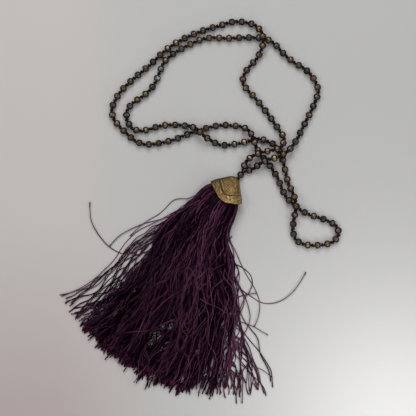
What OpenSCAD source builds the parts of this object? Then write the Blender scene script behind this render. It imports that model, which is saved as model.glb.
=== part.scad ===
// Long tassel necklace, laid down in a loose double loop.
// One knotted string of round beads runs from a larger-bored joining bead, all the way
// round and back into it. Both string ends then pass a neck knot and enter a flattened
// brass cap, which holds the head of a fanned thread tassel.
// Units are millimetres. The necklace lies on z = 0, with the middle of its outline at
// x = 0, y = 0, and +Y runs from the tassel's fringe towards the far end of the loop.

/* [Beads] */
// Diameter of one bead
bead_d = 4; // [3.4:0.1:4]
// Space between neighbouring beads, which the knot fills
knot_space = 2.2; // [1.6:0.1:3]
// Gap between a bead's drilled face and the knot beside it
face_gap = 0.15; // [0.1:0.05:0.3]

/* [Cord] */
// Diameter of the stringing cord
cord_d = 0.6; // [0.4:0.05:0.8]
// Diameter of a knot between two beads
knot_d = 1.9; // [1.2:0.1:2.2]
// Clear space round the cord in every hole that it runs through
bore_clear = 0.2; // [0.15:0.05:0.3]
// Clear space between the two cords in the joining bead
twin_gap = 0.2; // [0.1:0.05:0.4]

/* [Pile] */
// Clear height between two strands that cross
pile_gap = 0.3; // [0.2:0.05:0.8]

/* [Neck knot] */
// Length of the knot between the joining bead and the cap
neck_knot_l = 1.3; // [1:0.1:2.5]
// Thickness of the knot round the two cords
neck_knot_wall = 0.45; // [0.3:0.05:0.8]
// Gap on both sides of the neck knot
neck_gap = 0.15; // [0.1:0.05:0.3]

/* [Cap] */
// Length of the cap's flank, from its top edge to its mouth
cap_l = 15.1; // [12:0.1:20]
// Angle between the cap's middle and each flank, seen from above
cap_spread = 41; // [35:1:45]
// Thickness of the cap at its top
cap_top_t = 3.4; // [3.2:0.1:4]
// Thickness of the cap at its mouth
cap_mouth_t = 11.6; // [9:0.1:14]
// Wall of the cap
cap_wall = 1; // [0.8:0.05:1.1]
// Width of the border band round the mouth
cap_band = 4.4; // [3:0.1:6]
// Depth of the line that parts the band from the field
cap_line = 0.35; // [0.2:0.05:0.5]

/* [Tassel] */
// Length of the tassel below the cap's mouth
tassel_l = 122; // [90:1:140]
// Number of locks across the fan
lock_count = 19; // [13:1:25]
// Thickness of the tassel halfway to the fringe
tassel_mid_t = 6.4; // [4:0.1:8]
// Thickness of a lock's tip in the fringe
tassel_tip_t = 2; // [1.4:0.1:4]
// Gap between the tassel's head and the inside of the cap
head_gap = 0.3; // [0.2:0.05:0.5]
// Width of a lock, in spacings between neighbouring locks
lock_width = 1.35; // [1.2:0.05:1.6]
// How far a lock sways to the side, in degrees seen from the joining bead
lock_sway = 0.7; // [0:0.1:1.5]

/* [Hidden] */

bead_color = [0.42, 0.36, 0.26];
thread_color = [0.22, 0.08, 0.18];
cap_color = [0.60, 0.48, 0.26];

bead_r = bead_d / 2;
cord_r = cord_d / 2;
bead_bore_r = cord_r + bore_clear;
// Heights in the route are counted in strands that lie on each other
pile_step = bead_d + pile_gap;

// The joining bead and the way the tassel hangs from it
joint_xy = [23.5, 22];
hang_angle = 233.5;
hang = [cos(hang_angle), sin(hang_angle)];
aside = [-hang.y, hang.x];
twin_offset = cord_r + twin_gap / 2;
twin_bore_r = twin_offset + cord_r + bore_clear;
outlet = bead_r + face_gap;

// Route of the string from the joining bead round to it again: x, y, strands below it
ROUTE = [
    [25.2, 27.2, 0], [28, 31.5, 0.4], [33, 34.6, 1.05], [39.5, 36.5, 1], [46, 37.5, 1],
    [49.5, 40.5, 0.9], [50.5, 45, 0.2], [47, 50.5, 0], [32, 70.5, 0], [27.5, 75, 0],
    [24.5, 80, 0], [26, 85.5, 0], [34, 95, 0], [36.5, 100, 0.4], [37.6, 106.4, 1],
    [35.5, 112, 0.4], [32, 115.5, 0], [26, 117, 0], [20, 117.5, 0], [9, 114.5, 0],
    [-2.5, 111, 0], [-14.5, 105.5, 0], [-23.5, 99.5, 0], [-33, 90.5, 0], [-43, 82, 0],
    [-52, 73, 0], [-57, 62, 0], [-55.5, 56.5, 0], [-47.5, 47.5, 0], [-43, 43.5, 0],
    [-37.5, 41, 0], [-31.5, 41, 0], [-19, 43.5, 0], [-6, 48.5, 0], [12, 53, 0],
    [18.5, 52.5, 0], [25.5, 51.5, 0.1], [30, 47.5, 0.85], [31.2, 44.2, 1.1], [32.3, 41, 0.8],
    [34.5, 36.5, 0], [39.5, 30.5, 0], [46.5, 20, 0], [49, 13.5, 0], [52.5, 7, 0],
    [58.5, 2, 0], [63, -1.5, 0], [77, -6.5, 0], [84, -11, 0], [84.5, -16, 0],
    [81, -20, 0], [76, -21.5, 0], [63, -21.5, 0], [58, -19, 0], [56, -13, 0],
    [56.5, -6.5, 0.1], [57.5, 0, 0.9], [57.6, 3, 1.1], [57.4, 6, 0.95], [55.5, 11.5, 0.2],
    [53, 17, 0], [51.5, 23.5, 0], [48.5, 35, 0], [45, 40.5, 0], [40, 43, 0], [34, 44.5, 0],
    [28.5, 43, 0], [16.5, 40.5, 0], [10, 40.5, 0], [5.5, 43, 0.1], [0.5, 46, 0.85],
    [-3, 49.4, 1.2], [-6, 51.5, 0.75], [-11, 52.5, 0], [-23.5, 53, 0], [-42, 49.5, 0],
    [-46, 53, 0], [-48, 58, 0], [-46, 64.5, 0], [-36, 72, 0], [-31.5, 76.5, 0],
    [-26.5, 87, 0], [-24.5, 92, 0], [-20.5, 96, 0], [-9.5, 102.5, 0], [1.5, 107, 0],
    [15.5, 107, 0], [28, 107.5, 0], [39.5, 106.5, 0], [45, 103.5, 0], [49, 98.5, 0],
    [58, 91, 0], [63.5, 88, 0], [67.5, 84, 0], [72, 74.5, 0], [70.5, 69, 0], [61, 49, 0],
    [58.5, 44, 0], [55.5, 39.5, 0.3], [51.5, 35.5, 1], [46, 32.5, 1], [39.5, 31, 1.05],
    [36, 29.2, 0.9], [33, 26.8, 0.2], [29.5, 24.5, 0],
];
// Short steps that each stretch of the route is measured in
route_steps = 10;

// Cap, measured along its flank from the joining bead's centre
neck_r = twin_bore_r + neck_knot_wall;
cap_top = norm([outlet + neck_knot_l + 2 * neck_gap, neck_r]);
cap_mouth = cap_top + cap_l;
cap_sides = 48;
// Below 1 the cap's section is boxier than an ellipse
cap_square = 0.8;
// Rounding of the cap's top edge, and how far its field swells between edge and line
cap_round = 0.5;
field_swell = 0.1;
line_w = 0.7;

// The fan's edges: share of the tassel's length, left edge, right edge, in degrees
// from the way that it hangs, seen from the joining bead
FAN = [
    [0, -33, 33], [0.03, -36, 33.5], [0.085, -34, 29.5], [0.166, -29.5, 27], [0.29, -25, 29.5],
    [0.46, -20, 33], [0.72, -17.5, 36], [1, -19, 41.5],
];
// Locks across the fan: place from left to right, share of the tassel's length, and
// share of a lock's full width
LOCKS = [
    [0, 0.94, 0.6], [0.1, 0.96, 0.8], [0.2, 0.98, 1], [0.6, 1.02, 1], [0.8, 1, 0.9],
    [0.9, 0.97, 0.6], [1, 0.9, 0.55],
];
// Along one lock: share of its length, share of its full width
LOCK_FORM = [
    [-0.04, 0.9], [0, 1], [0.03, 1], [0.085, 1], [0.166, 1], [0.29, 1], [0.46, 1], [0.64, 1],
    [0.82, 0.95], [0.94, 0.75], [1, 0.4],
];
// Locks in turn end a little longer or shorter
reach_scatter = [0, 0.02, -0.015, 0.01, -0.02, 0.015];
// Degrees by which each lock's sway runs ahead of its left neighbour's
sway_lead = 137;
// Where the outermost locks sit in the head's oval section, as a share of its half width
outer_seat = 0.95;
lock_sides = 8;
// Share of its length over which the tassel sinks from the cap's mouth to the surface
settle = 0.2;

function unit(v) = v / norm(v);
function column(rows, c) = [for (r = rows) [r[0], r[c]]];
function plan(forward, sideways) = joint_xy + hang * forward + aside * sideways;
function raised(p, z) = [p.x, p.y, z];

// Points of the whole string, joining bead's outlet to outlet, with their heights
route_pts = [
    raised(plan(-outlet, -twin_offset), bead_r),
    for (r = ROUTE) [r.x, r.y, bead_r + r.z * pile_step],
    raised(plan(-outlet, twin_offset), bead_r),
];
route_n = len(route_pts);
function flat(p) = [p.x, p.y];
function chord(i) = norm(flat(route_pts[i + 1]) - flat(route_pts[i]));
function step_dir(i) = unit(flat(route_pts[i + 1]) - flat(route_pts[i]));
function step_rise(i) = (route_pts[i + 1].z - route_pts[i].z) / chord(i);
function heading(i) =
    i == 0 ? -hang :
    i == route_n - 1 ? hang :
    unit(step_dir(i) + step_dir(i - 1));
// Slope at a point: level at a top or a foot, and never so steep that the curve overshoots
function slope(i) =
    i == 0 || i == route_n - 1 ? 0 :
    let (a = step_rise(i - 1), b = step_rise(i)) a * b > 0 ? 2 * a * b / (a + b) : 0;
// Smooth curve from a to b over a length, which leaves with da and arrives with db
function bend(a, b, da, db, length, t) =
    a + (b - a) * t * t * (3 - 2 * t)
    + (da * (1 - t) - db * t) * t * (1 - t) * length;
function on_stretch(i, t) =
    let (a = route_pts[i], b = route_pts[i + 1])
    raised(bend(flat(a), flat(b), heading(i), heading(i + 1), chord(i), t),
        bend(a.z, b.z, slope(i), slope(i + 1), chord(i), t));
way = [
    for (i = [0:route_n - 2], k = [0:route_steps - 1]) on_stretch(i, k / route_steps),
    route_pts[route_n - 1],
];
mileage = [for (i = 0, s = 0; i < len(way);
    s = s + (i + 1 < len(way) ? norm(way[i + 1] - way[i]) : 0), i = i + 1) s];
way_x = [for (i = [0:len(way) - 1]) [mileage[i], way[i].x]];
way_y = [for (i = [0:len(way) - 1]) [mileage[i], way[i].y]];
way_z = [for (i = [0:len(way) - 1]) [mileage[i], way[i].z]];
way_l = mileage[len(way) - 1];
function at(s) = [lookup(s, way_x), lookup(s, way_y), lookup(s, way_z)];

// The loop with the joining bead's own stretch is shared out evenly
loop_l = way_l + 2 * outlet;
bead_count = round(loop_l / (bead_d + knot_space)) - 1;
pitch = loop_l / (bead_count + 1);
function bead_at(k) = k * pitch - outlet;
function bead_in(k) = at(bead_at(k) - outlet);
function bead_out(k) = at(bead_at(k) + outlet);

echo(str("loop ", loop_l, " mm, ", bead_count, " beads, pitch ", pitch, " mm"));

// Places child geometry at a point, with its Z along a direction
module along(p, d) {
    translate(p)
        rotate([0, acos(d.z), atan2(d.y, d.x)])
            children();
}

module drilled_bead(bore_r) {
    difference() {
        sphere(r = bead_r, $fn = 32);
        cylinder(r = bore_r, h = 2 * bead_d, center = true, $fn = 24);
    }
}

module beads() {
    color(bead_color)
        for (k = [1:bead_count])
            along((bead_in(k) + bead_out(k)) / 2, unit(bead_out(k) - bead_in(k)))
                drilled_bead(bead_bore_r);
}

module joining_bead() {
    color(bead_color)
        along(raised(joint_xy, bead_r), raised(hang, 0))
            drilled_bead(twin_bore_r);
}

// A knot swells to this share of its thickness over this share of its length
knot_shoulder = 0.72;
knot_flank = 0.16;
// The string is one tube, thin in each bead and thick in each knot.
// A ring of it is [centre, direction, radius].
function knot_rings(k) =
    let (a = bead_at(k) + outlet, b = bead_at(k + 1) - outlet, shoulder = knot_flank * (b - a),
        at_end = k == 0 || k == bead_count,
        r = at_end ? min(knot_d / 2, twin_offset + cord_r / 2) : knot_d / 2,
        way_in = k == 0 ? -raised(hang, 0) : unit(bead_out(k) - bead_in(k)),
        way_out = k == bead_count ? raised(hang, 0) : unit(bead_out(k + 1) - bead_in(k + 1)))
    [
        [at(a), way_in, cord_r],
        [at(a + shoulder), unit(at(a + 2 * shoulder) - at(a)), r * knot_shoulder],
        [at((a + b) / 2), unit(at(b - shoulder) - at(a + shoulder)), r],
        [at(b - shoulder), unit(at(b) - at(b - 2 * shoulder)), r * knot_shoulder],
        [at(b), way_out, cord_r],
    ];
head_top = cap_top + cap_wall + cap_round + head_gap;
cord_end = head_top - bore_clear;
cord_rings = [
    [raised(plan(cord_end, -twin_offset), bead_r), -raised(hang, 0), cord_r],
    for (k = [0:bead_count]) each knot_rings(k),
    [raised(plan(cord_end, twin_offset), bead_r), raised(hang, 0), cord_r],
];
cord_sides = 6;
function ring_points(ring) =
    let (side = unit(cross([0, 0, 1], ring[1])), up = cross(ring[1], side))
    [for (j = [0:cord_sides - 1]) let (a = 360 * (j + 0.5) / cord_sides)
        ring[0] + ring[2] * (cos(a) * side + sin(a) * up)];
// Triangles that join ring i to ring k of n points each
function band(i, k, n) = [for (j = [0:n - 1]) let (next = (j + 1) % n)
    each [[i * n + j, k * n + j, i * n + next], [i * n + next, k * n + j, k * n + next]]];

// A solid lofted through rings of n points each
module lofted(rings, n) {
    last = len(rings) - 1;
    polyhedron(
        points = [for (ring = rings) each ring],
        faces = [
            [for (j = [0:n - 1]) j],
            for (i = [0:last - 1]) each band(i, i + 1, n),
            [for (j = [n - 1:-1:0]) last * n + j],
        ],
        convexity = 10);
}

module cord() {
    color(thread_color)
        lofted([for (ring = cord_rings) ring_points(ring)], cord_sides);
}

module neck_knot() {
    corner = neck_knot_wall / 3;
    color(thread_color)
        along(raised(plan(outlet + neck_gap, 0), bead_r), raised(hang, 0))
            rotate_extrude($fn = 32)
                polygon([
                    [twin_bore_r, 0], [neck_r - corner, 0], [neck_r, corner],
                    [neck_r, neck_knot_l - corner], [neck_r - corner, neck_knot_l],
                    [twin_bore_r, neck_knot_l],
                ]);
}

// Height of the cap's middle and half its thickness, at a reach along its flank
function cap_share(reach) = (reach - cap_top) / cap_l;
function cap_mid(reach) = bead_r + (cap_mouth_t / 2 - bead_r) * cap_share(reach);
function cap_half(reach) = (cap_top_t + (cap_mouth_t - cap_top_t) * cap_share(reach)) / 2;
function squared(c) = sign(c) * pow(abs(c), cap_square);
// One ring of the cap: its reach, how far it lies inside the outer skin, and its points
function cap_ring(reach, inset) =
    oval_ring(reach, reach * sin(cap_spread) - inset, cap_half(reach) - inset, cap_mid(reach));
function oval_ring(reach, half_w, half_t, mid) =
    [for (j = [0:cap_sides - 1])
        let (a = 360 * j / cap_sides, v = half_w * squared(cos(a)))
        raised(plan(sqrt(reach * reach - v * v), v), mid + half_t * squared(sin(a)))];
// The hole in the cap's top lies level with the joining bead's bore
function hole_ring(reach) =
    oval_ring(reach, twin_offset + cord_r + bore_clear, cord_r + bore_clear, bead_r);

module tassel_cap() {
    line_at = cap_mouth - cap_band;
    rings = [
        hole_ring(cap_top),
        cap_ring(cap_top, cap_round),
        cap_ring(cap_top + cap_round, 0),
        cap_ring((cap_top + line_at) / 2, -field_swell),
        cap_ring(line_at - line_w, 0),
        cap_ring(line_at - line_w / 2, cap_line),
        cap_ring(line_at, 0),
        cap_ring(cap_mouth - cap_wall / 2, 0),
        cap_ring(cap_mouth, cap_wall / 4),
        cap_ring(cap_mouth, cap_wall * 3 / 4),
        cap_ring(cap_mouth - cap_wall / 2, cap_wall),
        cap_ring(cap_top + cap_wall + cap_round, cap_wall),
        hole_ring(cap_top + cap_wall),
    ];
    n = len(rings);
    color(cap_color)
        polyhedron(
            points = [for (r = rings) each r],
            faces = [for (i = [0:n - 1]) each band(i, (i + 1) % n, cap_sides)],
            convexity = 6);
}

// The tassel's room inside the cap
head_inset = cap_wall + head_gap;
function fan_thickness(share) = lookup(share,
    [[0, cap_mouth_t - 2 * head_inset], [0.5, tassel_mid_t], [1, tassel_tip_t]]);

// Cross-section of lock i at a share of its length; a share below 0 is inside the cap
function lock_ring(i, share) =
    let (place = (i + 0.5) / lock_count,
        seat = outer_seat * (2 * place - 1),
        crown = sqrt(1 - seat * seat),
        span = lookup(place, column(LOCKS, 1)) + reach_scatter[i % len(reach_scatter)],
        reach = cap_mouth + tassel_l * share * span,
        left = lookup(share, column(FAN, 1)),
        right = lookup(share, column(FAN, 2)),
        sway = lock_sway * sin(360 * share + sway_lead * i) * max(share, 0),
        angle = left + (right - left) * place + sway,
        half_w = reach * sin((right - left) / lock_count / 2) * lock_width
            * lookup(share, column(LOCK_FORM, 1)) * lookup(place, column(LOCKS, 2)),
        half_t = share > 0
            ? max(fan_thickness(share) * crown, tassel_tip_t) / 2
            : (cap_half(reach) - head_inset) * crown,
        held = max(1 - share / settle, 0),
        mid = share > 0 ? half_t * (1 - held) + cap_mouth_t / 2 * held : cap_mid(reach))
    [for (j = [0:lock_sides - 1]) let (a = 360 * (j + 0.5) / lock_sides, v = half_w * cos(a))
        raised(plan(reach * cos(angle) - v * sin(angle), reach * sin(angle) + v * cos(angle)),
            mid + half_t * sin(a))];

module tassel() {
    color(thread_color)
        union() {
            lofted([for (reach = [head_top, cap_mouth]) cap_ring(reach, head_inset)], cap_sides);
            for (i = [0:lock_count - 1])
                lofted([for (row = LOCK_FORM) lock_ring(i, row[0])], lock_sides);
        }
}

beads();
joining_bead();
cord();
neck_knot();
tassel_cap();
tassel();
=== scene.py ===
# %% [markdown]
# A long tassel necklace, laid down in loose loops.
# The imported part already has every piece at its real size: drilled balls for the beads, a
# tube for the cord, a plain brass shell and a fan of thick locks. This lesson dresses it.
# Beads get their ground facets, the cord its knots, the cap its stamped ornament, and the
# tassel its single threads. We start by loading the part, because each new piece takes its
# place and its size from it.

# %% Load the part
import math

import bmesh
import bpy
import numpy as np
from mathutils import Matrix, Vector


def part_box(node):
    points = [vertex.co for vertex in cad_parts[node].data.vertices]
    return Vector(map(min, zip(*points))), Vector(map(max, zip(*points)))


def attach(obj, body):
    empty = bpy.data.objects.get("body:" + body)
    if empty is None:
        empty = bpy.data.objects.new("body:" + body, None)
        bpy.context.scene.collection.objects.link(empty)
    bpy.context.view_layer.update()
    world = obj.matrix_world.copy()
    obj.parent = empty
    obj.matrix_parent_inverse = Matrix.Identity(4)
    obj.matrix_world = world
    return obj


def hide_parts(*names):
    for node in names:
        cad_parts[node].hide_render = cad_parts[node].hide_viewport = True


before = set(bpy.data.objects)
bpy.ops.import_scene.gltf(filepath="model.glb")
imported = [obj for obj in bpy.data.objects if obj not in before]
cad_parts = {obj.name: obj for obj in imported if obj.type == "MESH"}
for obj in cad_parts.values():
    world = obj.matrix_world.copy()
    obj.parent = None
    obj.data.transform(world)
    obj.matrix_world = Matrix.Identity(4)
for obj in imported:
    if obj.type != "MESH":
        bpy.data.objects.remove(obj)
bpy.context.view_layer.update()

MM = 0.001
BEAD_SEED = 11
chance = np.random.default_rng(BEAD_SEED)
print("pieces of the part:", sorted(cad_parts))

# %% [markdown]
# The camera comes first. The photograph was taken from straight above, so the camera looks
# straight down. The picture then lies flat on the table, and one scale turns a pixel into
# millimetres. A few places below were read off the picture, and `on_table` turns them into
# the part's own frame.

# %% Camera above the table
PHOTO_PX = 416
MM_PER_PX = 0.625
ORIGIN_PX = (203, 210)
CAMERA_HEIGHT = 700 * MM


def on_table(pixel):
    """Where a pixel of the photograph lies in the part's frame, in metres."""
    x = (pixel[0] - ORIGIN_PX[0]) * MM_PER_PX * MM
    y = (ORIGIN_PX[1] - pixel[1]) * MM_PER_PX * MM
    return np.array([x, y])


def add_object(name, data):
    """A new object in the scene."""
    made = bpy.data.objects.new(name, data)
    bpy.context.scene.collection.objects.link(made)
    return made


half_view = PHOTO_PX * MM_PER_PX * MM / 2
middle = on_table((PHOTO_PX / 2, PHOTO_PX / 2))
lens = bpy.data.cameras.new("camera")
lens.angle = 2 * math.atan(half_view / CAMERA_HEIGHT)
camera = add_object("camera", lens)
camera.location = (*middle, CAMERA_HEIGHT)
bpy.context.scene.camera = camera
bpy.context.scene.view_settings.view_transform = "Standard"
print(f"the picture is {2 * half_view / MM:.0f} mm wide on the table")

# %% [markdown]
# Every finish below is a small graph of nodes round one Principled shader. Writing each
# link out would bury the idea, so one helper adds a node and another fills its inputs: one
# that is given a socket is wired to it, and one that is given a number is set to it.

# %% Helpers for finishes
def new_finish(name):
    """A material with a Principled shader, and its node tree and shader."""
    finish = bpy.data.materials.new(name)
    finish.use_nodes = True
    return finish, finish.node_tree, finish.node_tree.nodes["Principled BSDF"]


def fill(tree, node, inputs):
    """Wires each input that is given a socket, and sets the others to their values."""
    for name, value in inputs.items():
        if isinstance(value, bpy.types.NodeSocket):
            tree.links.new(value, node.inputs[name])
        else:
            node.inputs[name].default_value = value


def add_node(tree, kind, inputs=None, **settings):
    """A new shader node with its settings made and its inputs filled."""
    made = tree.nodes.new("ShaderNode" + kind)
    for name, value in settings.items():
        setattr(made, name, value)
    fill(tree, made, inputs or {})
    return made


# %% [markdown]
# Most colours start with one tone and then get layers of wear and dirt over it. Noise, or an
# attribute that the mesh carries, says where a layer lies and how strongly.

# %% Helpers for colour and relief
def attribute(tree, name, output="Fac"):
    """What the mesh carries under a name."""
    return add_node(tree, "Attribute", attribute_name=name).outputs[output]


def blend_colors(tree, factor, first, second, blend_type="MIX"):
    """The colour socket of two colours blended by a factor."""
    inputs = {0: factor, 6: first, 7: second}
    return add_node(tree, "Mix", inputs, data_type="RGBA", blend_type=blend_type).outputs[2]


def layered(tree, color, *layers):
    """A colour with others laid over it, each as a factor and what it leads to."""
    for factor, over in layers:
        color = blend_colors(tree, factor, color, (*over, 1))
    return color


def stretch(tree, value, low, high, to_low=0.0, to_high=1.0):
    """A value's range from low to high spread over another range, and clamped there."""
    made = add_node(tree, "MapRange", {
        "Value": value, "From Min": low, "From Max": high, "To Min": to_low, "To Max": to_high})
    return made.outputs["Result"]


def grain(tree, scale, detail=3.0, roughness=0.5):
    """Noise in the object's own space, scale in cells per metre."""
    place = add_node(tree, "TexCoord").outputs["Object"]
    inputs = {"Vector": place, "Scale": scale, "Detail": detail, "Roughness": roughness}
    return add_node(tree, "TexNoise", inputs).outputs["Fac"]


def raise_bumps(tree, shader, height, distance, strength=1.0, normal=None):
    """Small relief on the finish, distance in metres."""
    inputs = {"Height": height, "Distance": distance, "Strength": strength}
    if normal is not None:
        inputs["Normal"] = normal
    fill(tree, shader, {"Normal": add_node(tree, "Bump", inputs).outputs["Normal"]})


# %% [markdown]
# Every finished piece takes the same steps at the end. It gets its finish, it is tied to the
# part's one body, and it stands in for the nodes that it dresses.

# %% A helper for finished pieces
def keep_piece(name, mesh, finish, slot, *nodes):
    """Puts a finished mesh in the scene as the stand-in for some nodes of the part."""
    mesh.name = name
    mesh.materials.clear()
    mesh.materials.append(finish)
    piece = add_object(name, mesh)
    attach(piece, "root")
    if nodes:
        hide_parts(*nodes)
    mesh.calc_loop_triangles()
    print(f"{name}: {len(mesh.loop_triangles)} triangles")
    return piece


# %% [markdown]
# The table is a sheet of pale matt board. Its tone isn't perfectly even in the photograph:
# it is a little warmer towards the left, and darker and pinkish near the lower left corner;
# that darker corner is painted shade. Two slow ramps over the board's own coordinates do
# that without a picture.

# %% Pale table
table_finish, tree, shader = new_finish("pale_matt_board")
place = add_node(tree, "TexCoord").outputs["Object"]
spot = add_node(tree, "SeparateXYZ", {"Vector": place}).outputs
leftwards = stretch(tree, spot["X"], -20 * MM, -90 * MM)
nearwards = stretch(tree, spot["Y"], -10 * MM, -120 * MM)
# Painted shade: the board is darker and pinkish towards the lower left corner.
corner = add_node(tree, "Math", {0: leftwards, 1: nearwards}, operation="MULTIPLY").outputs[0]
tone = layered(tree, (0.722, 0.712, 0.694, 1),
               (leftwards, (0.8, 0.754, 0.716)), (corner, (0.695, 0.592, 0.57)))
fill(tree, shader, {"Base Color": tone, "Roughness": 0.75})
raise_bumps(tree, shader, grain(tree, 900.0, 4.0), 0.06 * MM)


def as_mesh(name, made):
    """A mesh of what bmesh made."""
    mesh = bpy.data.meshes.new(name)
    made.to_mesh(mesh)
    made.free()
    return mesh


TABLE_HALF = 2.0
board = bmesh.new()
bmesh.ops.create_grid(board, x_segments=1, y_segments=1, size=TABLE_HALF)
table_mesh = as_mesh("table", board)
table_mesh.materials.append(table_finish)
table = add_object("table", table_mesh)

# %% [markdown]
# Light in the photograph is soft and comes from above and from the far side, so that each
# strand has a faint, wide shadow on the near side. Shiny beads also show what they mirror:
# each has a bright crown with a dark dot where the camera stands. Four soft lamps round the
# camera, with a gap between them, give both the crown and the dot. A small weak lamp that
# hangs low over the lower right corner makes the table brighter there, as the photograph
# shows it. It looks straight down, so the pool of light stays soft and small. A dim, bluish
# room fills the shadows.

# %% Soft lamps
# Each lamp's place, the spot on the table that it faces, its side in metres and its power.
LAMPS = {
    "far_window": ((0.0, 0.72, 0.8), (0, 0), 0.62, 4.2),
    "left_panel": ((-0.75, 0.1, 0.9), (0, 0), 0.5, 2.1),
    "right_panel": ((0.75, 0.1, 0.9), (0, 0), 0.5, 1.5),
    "near_panel": ((0.05, -0.65, 0.9), (0, 0), 0.4, 0.9),
    "low_corner_lamp": ((0.125, -0.14, 0.1), (0.125, -0.14), 0.1, 0.086),
}
for lamp_name, (place, looks_at, side, power) in LAMPS.items():
    light = bpy.data.lights.new(lamp_name, "AREA")
    light.size = side
    light.energy = power
    lamp = add_object(lamp_name, light)
    lamp.location = place
    aim = Vector((*looks_at, 0)) - Vector(place)
    lamp.rotation_euler = aim.to_track_quat("-Z", "Y").to_euler()
    lamp.visible_camera = False

sky = bpy.data.worlds.new("dim_room")
sky.use_nodes = True
background = sky.node_tree.nodes["Background"]
fill(sky.node_tree, background, {"Color": (0.8, 0.84, 0.9, 1), "Strength": 0.15})
bpy.context.scene.world = sky
print(f"{len(LAMPS)} lamps")

# %% [markdown]
# Now the beads. The part holds them as drilled balls, all in one node, so first each ball
# is found again: the triangles are joined at their corners, each island of faces is one
# ball, its centre comes from a sphere fitted through its corners, and its drill hole from
# the faces that lie deep inside.

# %% Find each ball and its hole
WELD = 0.001 * MM
DEEP = 0.8


def fitted_ball(island):
    """(centre, direction of the hole, radius) of the ball that has these corners."""
    corners = np.array([v.co for v in island])
    system = np.column_stack([2 * corners, np.ones(len(corners))])
    fit = np.linalg.lstsq(system, (corners ** 2).sum(1), rcond=None)[0]
    centre = fit[:3]
    radius = math.sqrt(fit[3] + centre @ centre)
    deep = set()
    for face in {f for v in island for f in v.link_faces}:
        if np.linalg.norm(np.array(face.calc_center_median()) - centre) < DEEP * radius:
            deep.update(face.verts)
    wall = np.array([v.co for v in deep]) - centre
    return centre, np.linalg.svd(wall)[2][0], radius


def drilled_balls(node):
    """Every ball in a node of the part."""
    shape = bmesh.new()
    shape.from_mesh(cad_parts[node].data)
    bmesh.ops.remove_doubles(shape, verts=shape.verts, dist=WELD)
    seen = set()
    found = []
    for seed in shape.verts:
        if seed in seen:
            continue
        seen.add(seed)
        island = [seed]
        for corner in island:
            for edge in corner.link_edges:
                other = edge.other_vert(corner)
                if other not in seen:
                    seen.add(other)
                    island.append(other)
        found.append(fitted_ball(island))
    shape.free()
    return found


balls = drilled_balls("beads")
joint, hang, bead_r = drilled_balls("joining_bead")[0]
cap_low, cap_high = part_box("tassel_cap")
if hang @ (np.array(cap_low + cap_high) / 2 - joint) < 0:
    hang = -hang
aside = np.array([-hang[1], hang[0], 0])
print(f"{len(balls)} balls of {2 * bead_r / MM:.2f} mm, tassel hangs at "
      f"{math.degrees(math.atan2(hang[1], hang[0])) % 360:.1f} degrees")

# %% [markdown]
# The balls come in no order, but the string has one, and the knots need it. So we walk: from
# the joining bead to its nearest neighbour, and then always to the ball that lies closest to
# where the hole points, one spacing on. Where strands cross, the next ball of the same
# strand is still closer to that spot than any ball of the other.

# %% Walk along the string
def walk(balls, start):
    """The balls in the string's order, each hole pointing to the next ball."""
    left = list(balls)
    spacing = min(np.linalg.norm(b[0] - left[0][0]) for b in left[1:])
    spot = start
    strung = []
    while left:
        nearest = min(range(len(left)), key=lambda k: np.linalg.norm(left[k][0] - spot))
        centre, hole, _ = left.pop(nearest)
        last = strung[-1][0] if strung else start
        if hole @ (centre - last) < 0:
            hole = -hole
        strung.append((centre, hole))
        spot = centre + spacing * hole
    return strung


strung = walk(balls, joint)
steps = [np.linalg.norm(b[0] - a[0]) for a, b in zip(strung, strung[1:])]
print(f"spacing {min(steps) / MM:.2f} to {max(steps) / MM:.2f} mm")

# %% [markdown]
# These are fire polished beads: a round glass bead is ground on a wheel in rows of flats,
# and then passes through a kiln that softens the edges. We cut the same way. A block starts
# larger than the bead, and `bisect_plane` takes off one flat after another, each at the same
# distance from the middle. The two end flats are cut until they are wide enough for the
# hole, and then carry it: an inset, a deletion and a bridge make it. A bead like this has a
# few dozen faces, which matters, as there are many.

# %% Cut one bead
FLATS_ROUND = 8
# The latitude of each row of flats in degrees, and its turn as a share of a flat.
ROWS = ((0, 0.0), (40, 0.5), (-40, 0.5), (68, 0.0), (-68, 0.0))
BLOCK = 3
CUT_DEPTH = 0.93
FARTHEST = 1.15


def cut_bead(radius, hole_radius, end_flat):
    """A mesh of one faceted bead, drilled along Z, its end flats at a share of the cut's depth."""
    bead = bmesh.new()
    bmesh.ops.create_cube(bead, size=BLOCK)
    cuts = [(Vector((0, 0, side)), CUT_DEPTH * end_flat) for side in (1, -1)]
    for latitude, offset in ROWS:
        rise = math.radians(latitude)
        for k in range(FLATS_ROUND):
            turn = math.radians(360 * (k + offset) / FLATS_ROUND)
            level = math.cos(rise)
            normal = Vector((math.cos(turn) * level, math.sin(turn) * level, math.sin(rise)))
            cuts.append((normal, CUT_DEPTH))
    for normal, depth in cuts:
        everything = bead.verts[:] + bead.edges[:] + bead.faces[:]
        cut = bmesh.ops.bisect_plane(
            bead, geom=everything, plane_co=normal * depth, plane_no=normal, clear_outer=True)
        rim = [part for part in cut["geom_cut"] if isinstance(part, bmesh.types.BMEdge)]
        bmesh.ops.edgeloop_fill(bead, edges=rim)
    bmesh.ops.recalc_face_normals(bead, faces=bead.faces)
    reach = max(v.co.length for v in bead.verts)
    bmesh.ops.scale(bead, verts=bead.verts, vec=Vector((1, 1, 1)) * radius * FARTHEST / reach)
    ends = [f for f in bead.faces if abs(f.normal.z) > 0.999]
    inradius = min((e.verts[0].co + e.verts[1].co).xy.length / 2 for e in ends[0].edges)
    print(f"end flat {2 * inradius / MM:.2f} mm wide for a hole of {2 * hole_radius / MM:.2f} mm")
    bmesh.ops.inset_individual(bead, faces=ends, thickness=inradius - hole_radius)
    walls = [e for f in ends for e in f.edges]
    bmesh.ops.delete(bead, geom=ends, context="FACES_ONLY")
    bmesh.ops.bridge_loops(bead, edges=walls)
    bmesh.ops.recalc_face_normals(bead, faces=bead.faces)
    return as_mesh("cut_bead", bead)


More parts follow.
